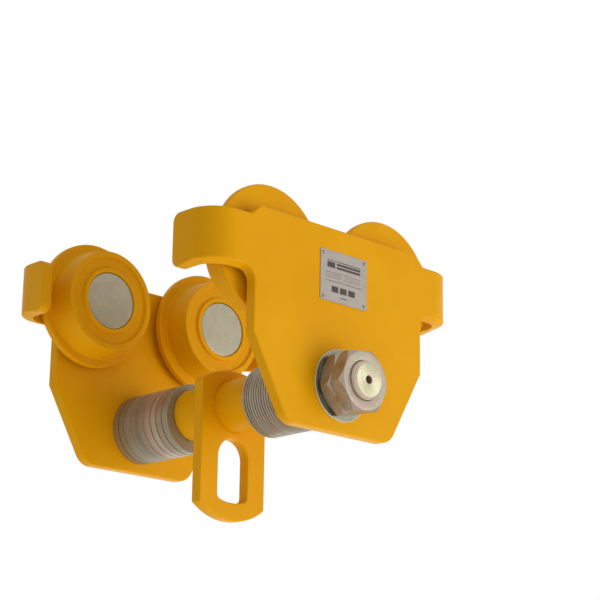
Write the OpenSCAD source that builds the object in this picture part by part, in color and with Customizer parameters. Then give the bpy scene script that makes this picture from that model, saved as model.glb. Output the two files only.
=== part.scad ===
// Manual beam trolley for a hoist, hung on the lower flange of an I-beam.
// X runs along the beam, Y across it, Z up. The origin is the middle of the surface the wheels run
// on, which is the top of the beam's lower flange. Heights below are given from the load shaft.
// Lengths are in millimetres. "near" is the -Y side, "far" the +Y side, "left" is -X, "right" is +X.

/* [Side plates] */
// Thickness of the side plates
plate_t = 16; // [12:0.5:20]
// Width of a side plate between its upright edges
plate_w = 300; // [290:1:330]
// Height of the plate's top edge above the load shaft
plate_top = 206; // [200:1:225]
// Depth of the plate's bottom edge below the load shaft
plate_drop = 61; // [56:1:80]
// Height above the load shaft at which the sides start to slope in
slope_top = 42; // [20:1:60]
// Width of the bottom edge, before its corners are rounded
bottom_w = 182; // [150:1:220]
// Radius of the two bottom corners
bottom_r = 26; // [12:1:30]

/* [Bumper wings] */
// Distance from the middle of the plate to the outer face of a wing
wing_reach = 222; // [214:1:240]
// Height of the wings' top edge above the load shaft
wing_top = 192; // [185:1:198]
// Height of the wings' lower edge above the load shaft
wing_bottom = 121; // [105:1:140]
// How far a wing's tip lies inboard of the plate's outer face
wing_depth = 74.5; // [65:0.5:90]
// Radius on the inside of the wing's bend
wing_bend_r = 27; // [20:1:36]
// Radius of the corners at the wing's tip
wing_tip_r = 12; // [4:1:20]
// Radius of the fillet between the wing's lower edge and the plate's upright edge
wing_fillet_r = 15; // [5:1:20]
// How far past the plate's upright edge the slope from the top edge meets a wing
notch_reach = 6; // [0:1:12]
// Radius at both ends of that slope
notch_r = 5; // [2:0.5:8]

/* [Wheels] */
// Distance between the two wheel axles of one plate
wheel_pitch = 205; // [200:1:220]
// Height of the wheel axles above the load shaft
axle_height = 159.5; // [150:0.5:165]
// Tread diameter beside the flange
tread_d = 150; // [140:1:160]
// Width of the tread
tread_w = 37.5; // [34:0.5:44]
// How much smaller the tread's radius is at the inboard end, for sloped beam flanges
tread_taper = 5; // [0:0.5:8]
// Diameter over the flange
flange_d = 175; // [165:1:185]
// Thickness of the flange
flange_w = 10; // [8:0.5:14]
// Gap between the wheel's outboard face and the side plate
wheel_side_gap = 7.5; // [5:0.5:12]
// Width of the lip that the bearing is pushed against
bearing_lip = 14; // [10:0.5:16]
// Depth of the turned recess in the wheel's inboard face
web_recess = 4; // [1:0.5:8]

/* [Bearings and axles] */
// Bearing bore, which is also the axle's diameter in the bearing
bearing_bore = 35; // [30:1:38]
// Outer diameter of the bearing
bearing_od = 80; // [76:1:84]
// Width of the bearing
bearing_w = 21; // [18:0.5:23]
// Diameter of the bearing balls
ball_d = 12.8; // [10:0.2:13.4]
// Number of balls in a bearing
ball_count = 8; // [6:1:9]
// Thickness of the two rings left between groove and shoulder
ring_wall = 6.5; // [5:0.1:7]
// Diameter of the axle's spigot in the side plate
spigot_d = 28; // [20:1:34]
// Depth of the blind seat that holds the spigot
spigot_depth = 9; // [6:0.5:11]
// Thickness of the axle circlips
axle_clip_t = 1.5; // [1:0.1:2]
// Thickness of the wheel bore circlips
bore_clip_t = 2.5; // [1.5:0.1:3]
// How far the circlips stand out of the axle, and in from the wheel's bore
clip_reach = 3.5; // [2.5:0.1:4]
// Sheet thickness of the wheel's dust cap
cap_t = 2; // [1:0.1:3]

/* [Load shaft] */
// Diameter of the load shaft
shaft_d = 50; // [46:0.5:54]
// Length of the shaft that stands out beyond each lock nut
shaft_proud = 7; // [4:0.5:15]
// Chamfer on the shaft's ends
shaft_chamfer = 3.5; // [1:0.5:4]
// Diameter of the centre holes in the shaft's ends
centre_hole_d = 10; // [6:0.5:14]
// Depth of the centre holes
centre_hole_depth = 14; // [6:1:20]
// Width of the countersink round a centre hole
centre_hole_sink = 1.3; // [0.5:0.1:2.5]

/* [Washers] */
// Thin adjusting washers between sleeve and near side plate, which set that plate's distance
near_thin_count = 18; // [14:1:22]
// Thick adjusting washers on the near side, outboard of the thin ones
near_thick_count = 3; // [2:1:5]
// Thin adjusting washers between sleeve and far side plate
far_thin_count = 10; // [6:1:14]
// Thick adjusting washers on the far side, inboard of the thin ones
far_thick_inboard = 4; // [3:1:6]
// Thick adjusting washers on the far side, outboard of the thin ones
far_thick_outboard = 2; // [1:1:3]
// Outer diameter of the adjusting washers
washer_d = 96; // [88:1:104]
// Thickness of a thin adjusting washer
thin_t = 4.5; // [4:0.1:4.7]
// Thickness of a thick adjusting washer
thick_t = 12; // [11:0.1:12.4]
// Thickness of the outer washer under the nuts
outer_washer_t = 2.5; // [2.5:0.5:6]
// Outer diameter of the outer washer
outer_washer_d = 93.5; // [88:0.5:100]
// Bevel on the washers' rims
washer_bevel = 0.5; // [0.2:0.1:1]

/* [Nuts] */
// Width across the flats of the nuts
nut_af = 76; // [72:1:84]
// Thickness of each nut
nut_t = 20.5; // [16:0.5:30]
// How far the rim of a nut's round face lies inside the flats
nut_face_inset = 0.5; // [0.2:0.1:2]
// Slope at which the nuts' corners are turned off
nut_corner_slope = 38; // [20:1:40]
// Width of the countersink at a nut's thread
nut_mouth = 1.2; // [0.5:0.1:2]
// Turn of the inner nuts about the shaft
inner_nut_turn = 11; // [0:1:59]
// Turn of the lock nuts about the shaft
lock_nut_turn = 7; // [0:1:59]

/* [Hanger] */
// Width of the hanger plate
hanger_w = 114.6; // [108:0.2:124]
// Thickness of the hanger plate
hanger_t = 17; // [14:0.5:24]
// Height of the hanger's rounded top above the load shaft
hanger_top = 53; // [50:1:56]
// Depth of the hanger's rounded bottom below the load shaft
hanger_drop = 150; // [145:1:180]
// Radius of the hanger's top arc
top_arc_r = 102; // [80:1:150]
// Radius of the hanger's bottom arc
bottom_arc_r = 92; // [80:1:150]
// Width of the hook slot
slot_w = 52; // [44:0.5:58]
// Depth of the slot's top below the load shaft
slot_top = 40; // [38:1:50]
// Steel left below the slot
slot_land = 24; // [18:1:30]
// Radius of the slot's two lower corners
slot_corner_r = 8; // [3:0.5:12]
// Outer diameter of the sleeve that is welded into the hanger
sleeve_d = 71.5; // [68:0.5:74]
// How far the sleeve's outside sits above its bore, for more wall over the shaft
sleeve_rise = 4; // [0:0.5:5]
// Length of the sleeve
sleeve_len = 150.5; // [140:0.5:160]
// Radius of the hanger plate's four outer corners
hanger_corner_r = 5; // [2:0.5:8]

/* [Nameplate] */
// Width of the nameplate
tag_w = 84; // [60:1:100]
// Height of the nameplate
tag_h = 68; // [50:1:80]
// Height of the nameplate's lower edge above the load shaft
tag_base = 107; // [100:1:115]
// Sideways place of the nameplate's middle
tag_x = 3.3; // [-10:0.1:10]
// Thickness of the nameplate
tag_t = 1; // [0.6:0.1:2]
// Distance of the rivets from the nameplate's edges
rivet_inset = 5; // [4:0.5:8]
// Diameter of the rivet heads
rivet_head_d = 4.6; // [3.5:0.1:6]

/* [Fits] */
// Radial clearance between the hanger's sleeve and the shaft, which turn on each other
running_fit = 0.08; // [0.03:0.01:0.1]
// Clearance between pieces that are seated in or on one another
seat_fit = 0.1; // [0.05:0.01:0.15]
// Radial clearance of washers, nuts and side plates on the shaft
slip_fit = 0.2; // [0.15:0.01:0.25]
// Side play of the hanger between the washers, at each end
side_play = 0.25; // [0.2:0.05:0.3]
// Clearance between the balls and their grooves
ball_play = 0.35; // [0.3:0.01:0.4]
// Gap drawn between two washers that lie on one another
lay_gap = 0.05; // [0.02:0.01:0.1]

/* [Hidden] */
$fn = 96;

// Colours
paint = [0.95, 0.65, 0.07];
zinc = [0.66, 0.60, 0.50];
steel = [0.62, 0.63, 0.64];
tag_grey = [0.70, 0.69, 0.68];

// A little extra length that makes a cut run clear through
over = 1;

// Side plate, measured from its own middle
half_w = plate_w / 2;
half_bottom = bottom_w / 2;
wing_bend_out = wing_bend_r + plate_t;
wing_bend_x = wing_reach - wing_bend_out;
notch_rise = plate_top - wing_top;
notch_x = half_w + notch_reach;
shaft_r = shaft_d / 2;
shaft_hole_r = shaft_r + slip_fit;

// Wheel, measured from its outboard face inward
axle_x = wheel_pitch / 2;
wheel_w = flange_w + tread_w;
tread_r = tread_d / 2;
tread_end_r = tread_r - tread_taper;
bearing_r = bearing_od / 2;
bearing_bore_r = bearing_bore / 2;
bearing_start = bearing_lip;
bearing_end = bearing_start + bearing_w;
outer_shoulder_r = bearing_r - ring_wall;
inner_shoulder_r = bearing_bore_r + ring_wall;
ball_pitch_r = (bearing_r + bearing_bore_r) / 2;
collar_r = inner_shoulder_r - 1;
bore_clip_groove = 2.2;
axle_clip_groove = 1;
spigot_r = spigot_d / 2;

// What is threaded on the load shaft, as distances from its middle. The washers of a side set
// how far out its plate and nuts sit.
stack_start = sleeve_len / 2 + side_play;
near_thin_len = near_thin_count * thin_t;
far_thin_start = stack_start + far_thick_inboard * thick_t;
far_thin_len = far_thin_count * thin_t;
function stack_end(far) = far
    ? far_thin_start + far_thin_len + far_thick_outboard * thick_t
    : stack_start + near_thin_len + near_thick_count * thick_t;
function inner_y(far) = stack_end(far);
function outer_y(far) = inner_y(far) + plate_t;
function nut_start(far) = outer_y(far) + outer_washer_t;
function lock_start(far) = nut_start(far) + nut_t;
function shaft_end(far) = lock_start(far) + nut_t + shaft_proud;

// Height of the wheels' running surface above the load shaft, where the origin is
running_z = axle_height - tread_r;

// Hanger
hanger_half = hanger_w / 2;
slot_half = slot_w / 2;
slot_round_z = -slot_top - slot_half;
top_arc_z = hanger_top - top_arc_r;
bottom_arc_z = bottom_arc_r - hanger_drop;
slot_arc_r = bottom_arc_r - slot_land;
sleeve_r = sleeve_d / 2;

function unit(v) = v / norm(v);

// The waste between a corner and the round that replaces it. The corner is at the origin of
// the edges that leave it along u and v, and reach carries the waste past the edges.
module corner_waste(corner, u, v, r, reach) {
    a = unit(u);
    b = unit(v);
    half_angle = acos(a * b) / 2;
    tangent = r / tan(half_angle);
    centre = corner + unit(a + b) * r / sin(half_angle);
    difference() {
        polygon([
            centre,
            corner + a * tangent,
            corner + a * tangent - unit(b - a * (a * b)) * reach,
            corner - unit(a + b) * reach,
            corner + b * tangent - unit(a - b * (a * b)) * reach,
            corner + b * tangent
        ]);
        translate(centre) circle(r);
    }
}

// The upright outline of a side plate, without the bent part of its wings
module plate_outline() {
    low = [half_bottom, -plate_drop];
    side = [half_w, slope_top];
    crook = [half_w, wing_bottom];
    notch_low = [notch_x, wing_top];
    notch_high = [notch_x - notch_rise, plate_top];
    difference() {
        union() {
            polygon([
                [-half_bottom, -plate_drop], low, side, crook,
                [wing_bend_x, wing_bottom], [wing_bend_x, wing_top],
                notch_low, notch_high,
                [notch_rise - notch_x, plate_top], [-notch_x, wing_top],
                [-wing_bend_x, wing_top], [-wing_bend_x, wing_bottom],
                [-half_w, wing_bottom], [-half_w, slope_top]
            ]);
            for (s = [-1, 1]) scale([s, 1]) {
                corner_waste(crook, [0, -1], [1, 0], wing_fillet_r, over);
                corner_waste(notch_low, [1, 0], [-1, 1], notch_r, over);
            }
        }
        for (s = [-1, 1]) scale([s, 1]) {
            corner_waste(low, [-1, 0], side - low, bottom_r, over);
            corner_waste(notch_high, [-1, 0], [1, -1], notch_r, over);
        }
    }
}

// The bent wing on the +X side of a plate whose outer face is at Y = 0, inboard towards +Y
module wing() {
    height = wing_top - wing_bottom;
    flat_len = wing_depth - wing_bend_out;
    translate([wing_bend_x, wing_bend_out, wing_bottom]) {
        rotate([0, 0, -90]) rotate_extrude(angle = 90)
            translate([wing_bend_r, 0]) square([plate_t, height]);
        translate([wing_bend_r, 0, 0]) rotate([90, 0, 90]) linear_extrude(plate_t)
            difference() {
                square([flat_len, height]);
                corner_waste([flat_len, 0], [-1, 0], [0, 1], wing_tip_r, over);
                corner_waste([flat_len, height], [-1, 0], [0, -1], wing_tip_r, over);
            }
    }
}

// A side plate with its outer face at Y = 0 and its inner face at Y = plate_t
module side_plate() {
    difference() {
        union() {
            translate([0, plate_t, 0]) rotate([90, 0, 0]) linear_extrude(plate_t) plate_outline();
            wing();
            mirror([1, 0, 0]) wing();
        }
        rotate([-90, 0, 0]) translate([0, 0, -over])
            cylinder(h = plate_t + 2 * over, r = shaft_hole_r);
        for (s = [-1, 1])
            translate([s * axle_x, plate_t - spigot_depth - seat_fit, axle_height])
                rotate([-90, 0, 0])
                    cylinder(h = spigot_depth + seat_fit + over, r = spigot_r + seat_fit);
    }
}

// Puts what is drawn for the near side on the side that is asked for
module on_side(far) {
    if (far) mirror([0, 1, 0]) children();
    else children();
}

// Carries a wheel part, drawn along +Z from the wheel's outboard face inward, to one corner
module at_wheel(far, right) {
    on_side(far)
        translate([right ? axle_x : -axle_x, wheel_side_gap - inner_y(far), axle_height - running_z])
            rotate([-90, 0, 0]) children();
}

// Brings what is drawn from the load shaft's axis to the origin on the running surface
module on_beam() {
    translate([0, 0, -running_z]) children();
}

module ring(r_in, r_out, h) {
    difference() {
        cylinder(h = h, r = r_out);
        translate([0, 0, -over]) cylinder(h = h + 2 * over, r = r_in);
    }
}

module wheel() {
    edge = 1.5;
    tread_edge = 1;
    root_r = 3;
    hub_wall = 6;
    rim_wall = 8;
    recess_in = bearing_r + hub_wall;
    recess_out = tread_end_r - rim_wall;
    color(paint) rotate_extrude() difference() {
        union() {
            polygon([
                [outer_shoulder_r, 0], [flange_d / 2 - edge, 0], [flange_d / 2, edge],
                [flange_d / 2, flange_w - edge], [flange_d / 2 - edge, flange_w],
                [tread_r, flange_w], [tread_end_r, wheel_w - tread_edge],
                [tread_end_r - tread_edge, wheel_w],
                [outer_shoulder_r, wheel_w]
            ]);
            translate([tread_r, flange_w]) difference() {
                translate([-over, -over]) square([root_r + over, root_r + over]);
                translate([root_r, root_r]) circle(root_r, $fn = 48);
            }
        }
        translate([bearing_r + seat_fit - bearing_od, bearing_start - seat_fit])
            square([bearing_od, wheel_w]);
        translate([0, bearing_end + seat_fit])
            square([bearing_r + bore_clip_groove + seat_fit, bore_clip_t + seat_fit]);
        translate([recess_in, wheel_w - web_recess])
            square([recess_out - recess_in, web_recess + over]);
    }
}

// The ball groove, as a round bar bent to the ball circle, at the middle of the bearing
module ball_groove() {
    groove_r = ball_d / 2 + ball_play;
    translate([ball_pitch_r, bearing_start + bearing_w / 2]) circle(groove_r, $fn = 48);
}

module bearing_outer_ring() {
    color(steel) rotate_extrude() difference() {
        translate([outer_shoulder_r, bearing_start]) square([ring_wall, bearing_w]);
        ball_groove();
    }
}

module bearing_inner_ring() {
    color(steel) rotate_extrude() difference() {
        translate([bearing_bore_r + seat_fit, bearing_start])
            square([ring_wall - seat_fit, bearing_w]);
        ball_groove();
    }
}

module bearing_balls() {
    cage_half = 1.5;
    cage_w = ball_d * 0.7;
    color(steel) translate([0, 0, bearing_start + bearing_w / 2]) union() {
        translate([0, 0, -cage_w / 2]) ring(ball_pitch_r - cage_half, ball_pitch_r + cage_half, cage_w);
        for (i = [0:ball_count - 1]) rotate([0, 0, i * 360 / ball_count])
            translate([ball_pitch_r, 0, 0]) sphere(d = ball_d, $fn = 48);
    }
}

module axle() {
    end_past_clip = 3;
    groove_start = bearing_end + seat_fit;
    groove_len = axle_clip_t + seat_fit;
    end_z = groove_start + groove_len + end_past_clip;
    edge = 1;
    color(steel) difference() {
        union() {
            translate([0, 0, -wheel_side_gap - spigot_depth])
                cylinder(h = spigot_depth + wheel_side_gap, r = spigot_r);
            translate([0, 0, -wheel_side_gap])
                cylinder(h = wheel_side_gap + bearing_start, r = collar_r);
            translate([0, 0, bearing_start])
                cylinder(h = end_z - bearing_start - edge, r = bearing_bore_r);
            translate([0, 0, end_z - edge])
                cylinder(h = edge, r1 = bearing_bore_r, r2 = bearing_bore_r - edge);
        }
        translate([0, 0, groove_start])
            ring(bearing_bore_r - axle_clip_groove, bearing_bore_r + over, groove_len);
    }
}

// An open ring with two eyes for pliers, which lie inside it when it fills a bore
module circlip(r_in, r_out, thickness, eyes_inside) {
    eye_r = 3.2;
    pin_r = 1.25;
    mouth = 3;
    eye_turn = eyes_inside ? 9 : 12;
    eye_at = eyes_inside ? r_in - eye_r * 0.6 : r_out + eye_r * 0.4;
    color(steel) difference() {
        union() {
            ring(r_in, r_out, thickness);
            for (s = [-1, 1]) rotate([0, 0, s * eye_turn])
                translate([eye_at, 0, 0]) cylinder(h = thickness, r = eye_r, $fn = 32);
        }
        translate([0, -mouth / 2, -over]) cube([r_out + 2 * eye_r, mouth, thickness + 2 * over]);
        for (s = [-1, 1]) rotate([0, 0, s * eye_turn])
            translate([eye_at, 0, -over]) cylinder(h = thickness + 2 * over, r = pin_r, $fn = 24);
        if (!eyes_inside) translate([0, 0, -over]) cylinder(h = thickness + 2 * over, r = r_in);
    }
}

module axle_circlip() {
    grip_r = bearing_bore_r - axle_clip_groove + seat_fit;
    translate([0, 0, bearing_end + seat_fit])
        circlip(grip_r, bearing_bore_r + clip_reach, axle_clip_t, false);
}

module bore_circlip() {
    fill_r = bearing_r + bore_clip_groove;
    translate([0, 0, bearing_end + seat_fit])
        circlip(bearing_r - clip_reach, fill_r, bore_clip_t, true);
}

// A pressed cup that closes the wheel's bore, its rim against the bore circlip
module dust_cap() {
    cup_r = bearing_r;
    rim_start = bearing_end + 2 * seat_fit + bore_clip_t;
    face_top = wheel_w - 1;
    edge = 1.5;
    color(zinc) rotate_extrude() difference() {
        polygon([
            [0, rim_start], [cup_r, rim_start], [cup_r, face_top - edge],
            [cup_r - edge, face_top], [0, face_top]
        ]);
        translate([-cap_t, rim_start - over])
            square([cup_r, face_top - cap_t - rim_start + over]);
    }
}

// Pieces on the shaft are drawn along +Z from the middle of the trolley and turned to one side
module along_shaft(far) {
    on_side(far) rotate([90, 0, 0]) children();
}

// A blind hole with a countersunk mouth, down from Z = 0
module centre_hole() {
    hole_r = centre_hole_d / 2;
    rotate_extrude($fn = 48) polygon([
        [0, -centre_hole_depth], [hole_r, -centre_hole_depth], [hole_r, -centre_hole_sink],
        [hole_r + centre_hole_sink + over, over], [0, over]
    ]);
}

module load_shaft() {
    color(zinc) difference() {
        union() {
            rotate([90, 0, 0]) translate([0, 0, shaft_chamfer - shaft_end(true)])
                cylinder(h = shaft_end(true) + shaft_end(false) - 2 * shaft_chamfer, r = shaft_r);
            for (far = [false, true]) along_shaft(far)
                translate([0, 0, shaft_end(far) - shaft_chamfer])
                    cylinder(h = shaft_chamfer, r1 = shaft_r, r2 = shaft_r - shaft_chamfer);
        }
        for (far = [false, true]) along_shaft(far) translate([0, 0, shaft_end(far)]) centre_hole();
    }
}

module washer(h, rim_r) {
    hole_r = shaft_r + slip_fit;
    color(zinc) rotate_extrude() polygon([
        [hole_r, 0], [rim_r - washer_bevel, 0], [rim_r, washer_bevel],
        [rim_r, h - washer_bevel], [rim_r - washer_bevel, h], [hole_r, h]
    ]);
}

// Washers of one thickness laid on one another from start outwards
module washer_stack(start, count, h) {
    for (i = [0:count - 1]) translate([0, 0, start + i * h])
        washer(h - lay_gap, washer_d / 2);
}

module near_thin_washers() {
    along_shaft(false) washer_stack(stack_start, near_thin_count, thin_t);
}

module near_thick_washers() {
    along_shaft(false) washer_stack(stack_start + near_thin_len, near_thick_count, thick_t);
}

module far_thin_washers() {
    along_shaft(true) washer_stack(far_thin_start, far_thin_count, thin_t);
}

module far_thick_washers() {
    along_shaft(true) {
        washer_stack(stack_start, far_thick_inboard, thick_t);
        washer_stack(far_thin_start + far_thin_len, far_thick_outboard, thick_t);
    }
}

module outer_washer(far) {
    along_shaft(far) translate([0, 0, outer_y(far)]) washer(outer_washer_t, outer_washer_d / 2);
}

// A hexagon nut whose corners are turned off and whose thread is countersunk at both faces
module nut(turn) {
    corner_r = nut_af / 2 / cos(30);
    face_r = nut_af / 2 - nut_face_inset;
    rim_r = corner_r + over;
    bevel_h = (rim_r - face_r) * tan(nut_corner_slope);
    hole_r = shaft_r + slip_fit;
    mouth_r = hole_r + nut_mouth;
    color(zinc) rotate([0, 0, turn]) intersection() {
        cylinder(h = nut_t, r = corner_r, $fn = 6);
        rotate([0, 0, 15]) rotate_extrude() polygon([
            [mouth_r, 0], [face_r, 0], [rim_r, bevel_h], [rim_r, nut_t - bevel_h],
            [face_r, nut_t], [mouth_r, nut_t], [hole_r, nut_t - nut_mouth], [hole_r, nut_mouth]
        ]);
    }
}

module inner_nut(far) {
    along_shaft(far) translate([0, 0, nut_start(far)]) nut(inner_nut_turn);
}

module lock_nut(far) {
    along_shaft(far) translate([0, 0, lock_start(far)]) nut(lock_nut_turn);
}

// The waste outside a round between an upright edge at half_width and an arc of radius arc_r about
// [0, arc_z]. The corner is the arc's upper one when up is 1 and its lower one when up is -1.
module arc_corner_waste(half_width, arc_r, arc_z, r, up) {
    centre = [half_width - r, arc_z + up * sqrt(pow(arc_r - r, 2) - pow(half_width - r, 2))];
    out = unit(centre - [0, arc_z]);
    tangent = [0, arc_z] + out * arc_r;
    corner_z = arc_z + up * sqrt(pow(arc_r, 2) - pow(half_width, 2));
    difference() {
        polygon([
            centre, [half_width, centre[1]], [half_width + over, centre[1]],
            [half_width + over, corner_z + up * over], tangent + out * over, tangent
        ]);
        translate(centre) circle(r);
    }
}

module hanger_outline() {
    waist_z = slot_round_z;
    difference() {
        union() {
            intersection() {
                translate([-hanger_half, waist_z]) square([hanger_w, hanger_top - waist_z]);
                translate([0, top_arc_z]) circle(top_arc_r, $fn = 180);
            }
            intersection() {
                translate([-hanger_half, -hanger_drop]) square([hanger_w, waist_z + hanger_drop]);
                translate([0, bottom_arc_z]) circle(bottom_arc_r, $fn = 180);
            }
        }
        translate([0, sleeve_rise]) circle(sleeve_r + seat_fit);
        hook_slot();
        for (s = [-1, 1]) scale([s, 1]) {
            arc_corner_waste(hanger_half, top_arc_r, top_arc_z, hanger_corner_r, 1);
            arc_corner_waste(hanger_half, bottom_arc_r, bottom_arc_z, hanger_corner_r, -1);
        }
    }
}

// The slot has a full round top and a flatter bottom that runs level with the hanger's own arc
module hook_slot() {
    corner_z = bottom_arc_z - sqrt(pow(slot_arc_r, 2) - pow(slot_half, 2));
    translate([0, slot_round_z]) circle(slot_half);
    difference() {
        intersection() {
            translate([-slot_half, -hanger_drop]) square([slot_w, hanger_drop + slot_round_z]);
            translate([0, bottom_arc_z]) circle(slot_arc_r, $fn = 180);
        }
        for (s = [-1, 1]) scale([s, 1])
            corner_waste([slot_half, corner_z], [0, 1],
                [-slot_arc_r * cos(asin(slot_half / slot_arc_r)), -slot_half],
                slot_corner_r, over);
    }
}

module hanger_plate() {
    color(paint) rotate([90, 0, 0]) translate([0, 0, -hanger_t / 2])
        linear_extrude(hanger_t) hanger_outline();
}

module hanger_sleeve() {
    color(paint) rotate([90, 0, 0]) translate([0, 0, -sleeve_len / 2]) difference() {
        translate([0, sleeve_rise, 0]) cylinder(h = sleeve_len, r = sleeve_r);
        translate([0, 0, -over])
            cylinder(h = sleeve_len + 2 * over, r = shaft_r + running_fit);
    }
}

module tag_outline() {
    corner_r = 3;
    difference() {
        translate([tag_x - tag_w / 2, tag_base]) square([tag_w, tag_h]);
        for (s = [-1, 1], t = [-1, 1])
            corner_waste([tag_x + s * tag_w / 2, tag_base + tag_h / 2 + t * tag_h / 2],
                [-s, 0], [0, -t], corner_r, over);
    }
}

module at_rivets() {
    for (s = [-1, 1], t = [-1, 1])
        translate([tag_x + s * (tag_w / 2 - rivet_inset), 0,
                   tag_base + tag_h / 2 + t * (tag_h / 2 - rivet_inset)])
            rotate([90, 0, 0]) children();
}

rivet_shank_r = 1.4;
rivet_shank_len = 7;

module rivet_holes() {
    at_rivets() translate([0, 0, outer_y(false) - rivet_shank_len])
        cylinder(h = rivet_shank_len + plate_t, r = rivet_shank_r + seat_fit, $fn = 24);
}

module nameplate() {
    color(tag_grey) difference() {
        translate([0, -outer_y(false), 0]) rotate([90, 0, 0]) linear_extrude(tag_t) tag_outline();
        rivet_holes();
    }
}

module nameplate_rivets() {
    head_h = 1.2;
    head_r = rivet_head_d / 2;
    dome_r = (pow(head_r, 2) + pow(head_h, 2)) / (2 * head_h);
    color(steel) at_rivets() translate([0, 0, outer_y(false)]) {
        translate([0, 0, tag_t]) intersection() {
            translate([0, 0, head_h - dome_r]) sphere(dome_r, $fn = 48);
            cylinder(h = head_h + over, r = head_r, $fn = 48);
        }
        translate([0, 0, seat_fit - rivet_shank_len])
            cylinder(h = rivet_shank_len - seat_fit + tag_t + head_h / 2, r = rivet_shank_r, $fn = 24);
    }
}

module near_side_plate() {
    color(paint) difference() {
        translate([0, -outer_y(false), 0]) side_plate();
        rivet_holes();
    }
}

module far_side_plate() {
    color(paint) on_side(true) translate([0, -outer_y(true), 0]) side_plate();
}

on_beam() near_side_plate();
on_beam() far_side_plate();
at_wheel(false, false) wheel();  // wheel_near_left
at_wheel(false, true) wheel();  // wheel_near_right
at_wheel(true, false) wheel();  // wheel_far_left
at_wheel(true, true) wheel();  // wheel_far_right
at_wheel(false, false) axle();  // axle_near_left
at_wheel(false, true) axle();  // axle_near_right
at_wheel(true, false) axle();  // axle_far_left
at_wheel(true, true) axle();  // axle_far_right
at_wheel(false, false) bearing_outer_ring();  // bearing_outer_ring_near_left
at_wheel(false, true) bearing_outer_ring();  // bearing_outer_ring_near_right
at_wheel(true, false) bearing_outer_ring();  // bearing_outer_ring_far_left
at_wheel(true, true) bearing_outer_ring();  // bearing_outer_ring_far_right
at_wheel(false, false) bearing_inner_ring();  // bearing_inner_ring_near_left
at_wheel(false, true) bearing_inner_ring();  // bearing_inner_ring_near_right
at_wheel(true, false) bearing_inner_ring();  // bearing_inner_ring_far_left
at_wheel(true, true) bearing_inner_ring();  // bearing_inner_ring_far_right
at_wheel(false, false) bearing_balls();  // bearing_balls_near_left
at_wheel(false, true) bearing_balls();  // bearing_balls_near_right
at_wheel(true, false) bearing_balls();  // bearing_balls_far_left
at_wheel(true, true) bearing_balls();  // bearing_balls_far_right
at_wheel(false, false) axle_circlip();  // axle_circlip_near_left
at_wheel(false, true) axle_circlip();  // axle_circlip_near_right
at_wheel(true, false) axle_circlip();  // axle_circlip_far_left
at_wheel(true, true) axle_circlip();  // axle_circlip_far_right
at_wheel(false, false) bore_circlip();  // bore_circlip_near_left
at_wheel(false, true) bore_circlip();  // bore_circlip_near_right
at_wheel(true, false) bore_circlip();  // bore_circlip_far_left
at_wheel(true, true) bore_circlip();  // bore_circlip_far_right
at_wheel(false, false) dust_cap();  // dust_cap_near_left
at_wheel(false, true) dust_cap();  // dust_cap_near_right
at_wheel(true, false) dust_cap();  // dust_cap_far_left
at_wheel(true, true) dust_cap();  // dust_cap_far_right
on_beam() load_shaft();
on_beam() near_thin_washers();
on_beam() near_thick_washers();
on_beam() far_thin_washers();
on_beam() far_thick_washers();
on_beam() outer_washer(false);  // near_outer_washer
on_beam() outer_washer(true);  // far_outer_washer
on_beam() inner_nut(false);  // near_inner_nut
on_beam() inner_nut(true);  // far_inner_nut
on_beam() lock_nut(false);  // near_lock_nut
on_beam() lock_nut(true);  // far_lock_nut
on_beam() hanger_plate();
on_beam() hanger_sleeve();
on_beam() nameplate();
on_beam() nameplate_rivets();
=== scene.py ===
# Looks of the manual beam trolley. X runs along the beam, Y across it, Z up. The origin is the
# middle of the surface that the wheels run on. "near" is the -Y side, "left" is -X.
# Lengths are in millimetres until a mesh is made, which is then in metres.
import math
import random

import bmesh
import bpy
from mathutils import Matrix, Vector
from mathutils.geometry import tessellate_polygon

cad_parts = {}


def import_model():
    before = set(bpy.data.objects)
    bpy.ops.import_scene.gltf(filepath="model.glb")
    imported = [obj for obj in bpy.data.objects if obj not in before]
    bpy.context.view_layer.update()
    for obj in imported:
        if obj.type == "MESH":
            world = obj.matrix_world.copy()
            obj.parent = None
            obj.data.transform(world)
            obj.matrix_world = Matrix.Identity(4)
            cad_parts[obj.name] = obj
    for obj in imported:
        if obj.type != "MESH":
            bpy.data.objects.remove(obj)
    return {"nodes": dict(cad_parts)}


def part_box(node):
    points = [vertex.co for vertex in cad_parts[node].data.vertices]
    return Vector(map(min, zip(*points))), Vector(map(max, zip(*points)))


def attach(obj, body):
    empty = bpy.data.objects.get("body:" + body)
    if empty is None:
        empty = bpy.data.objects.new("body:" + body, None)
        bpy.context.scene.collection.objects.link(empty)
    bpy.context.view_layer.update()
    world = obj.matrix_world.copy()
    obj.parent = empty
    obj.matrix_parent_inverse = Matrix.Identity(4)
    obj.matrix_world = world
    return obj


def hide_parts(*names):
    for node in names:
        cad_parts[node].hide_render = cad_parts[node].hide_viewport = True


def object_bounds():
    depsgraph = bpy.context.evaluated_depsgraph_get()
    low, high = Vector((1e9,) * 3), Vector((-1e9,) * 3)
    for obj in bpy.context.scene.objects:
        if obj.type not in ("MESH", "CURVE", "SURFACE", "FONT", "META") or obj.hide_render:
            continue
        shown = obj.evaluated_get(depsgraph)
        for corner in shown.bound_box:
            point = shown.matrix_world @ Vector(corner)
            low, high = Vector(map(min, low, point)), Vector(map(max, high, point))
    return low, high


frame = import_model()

MM = 0.001
cad_low, cad_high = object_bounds()


# Places that come from the frame
def box_mm(node):
    low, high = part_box(node)
    return low / MM, high / MM


def middle_mm(node):
    low, high = box_mm(node)
    return (low + high) / 2


SIDES = ("near", "far")
ENDS = ("left", "right")
SHAFT_Z = middle_mm("load_shaft").z
PLATE_Y = {"near": box_mm("near_side_plate")[0].y, "far": box_mm("far_side_plate")[1].y}
INBOARD = {"near": 1, "far": -1}

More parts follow.
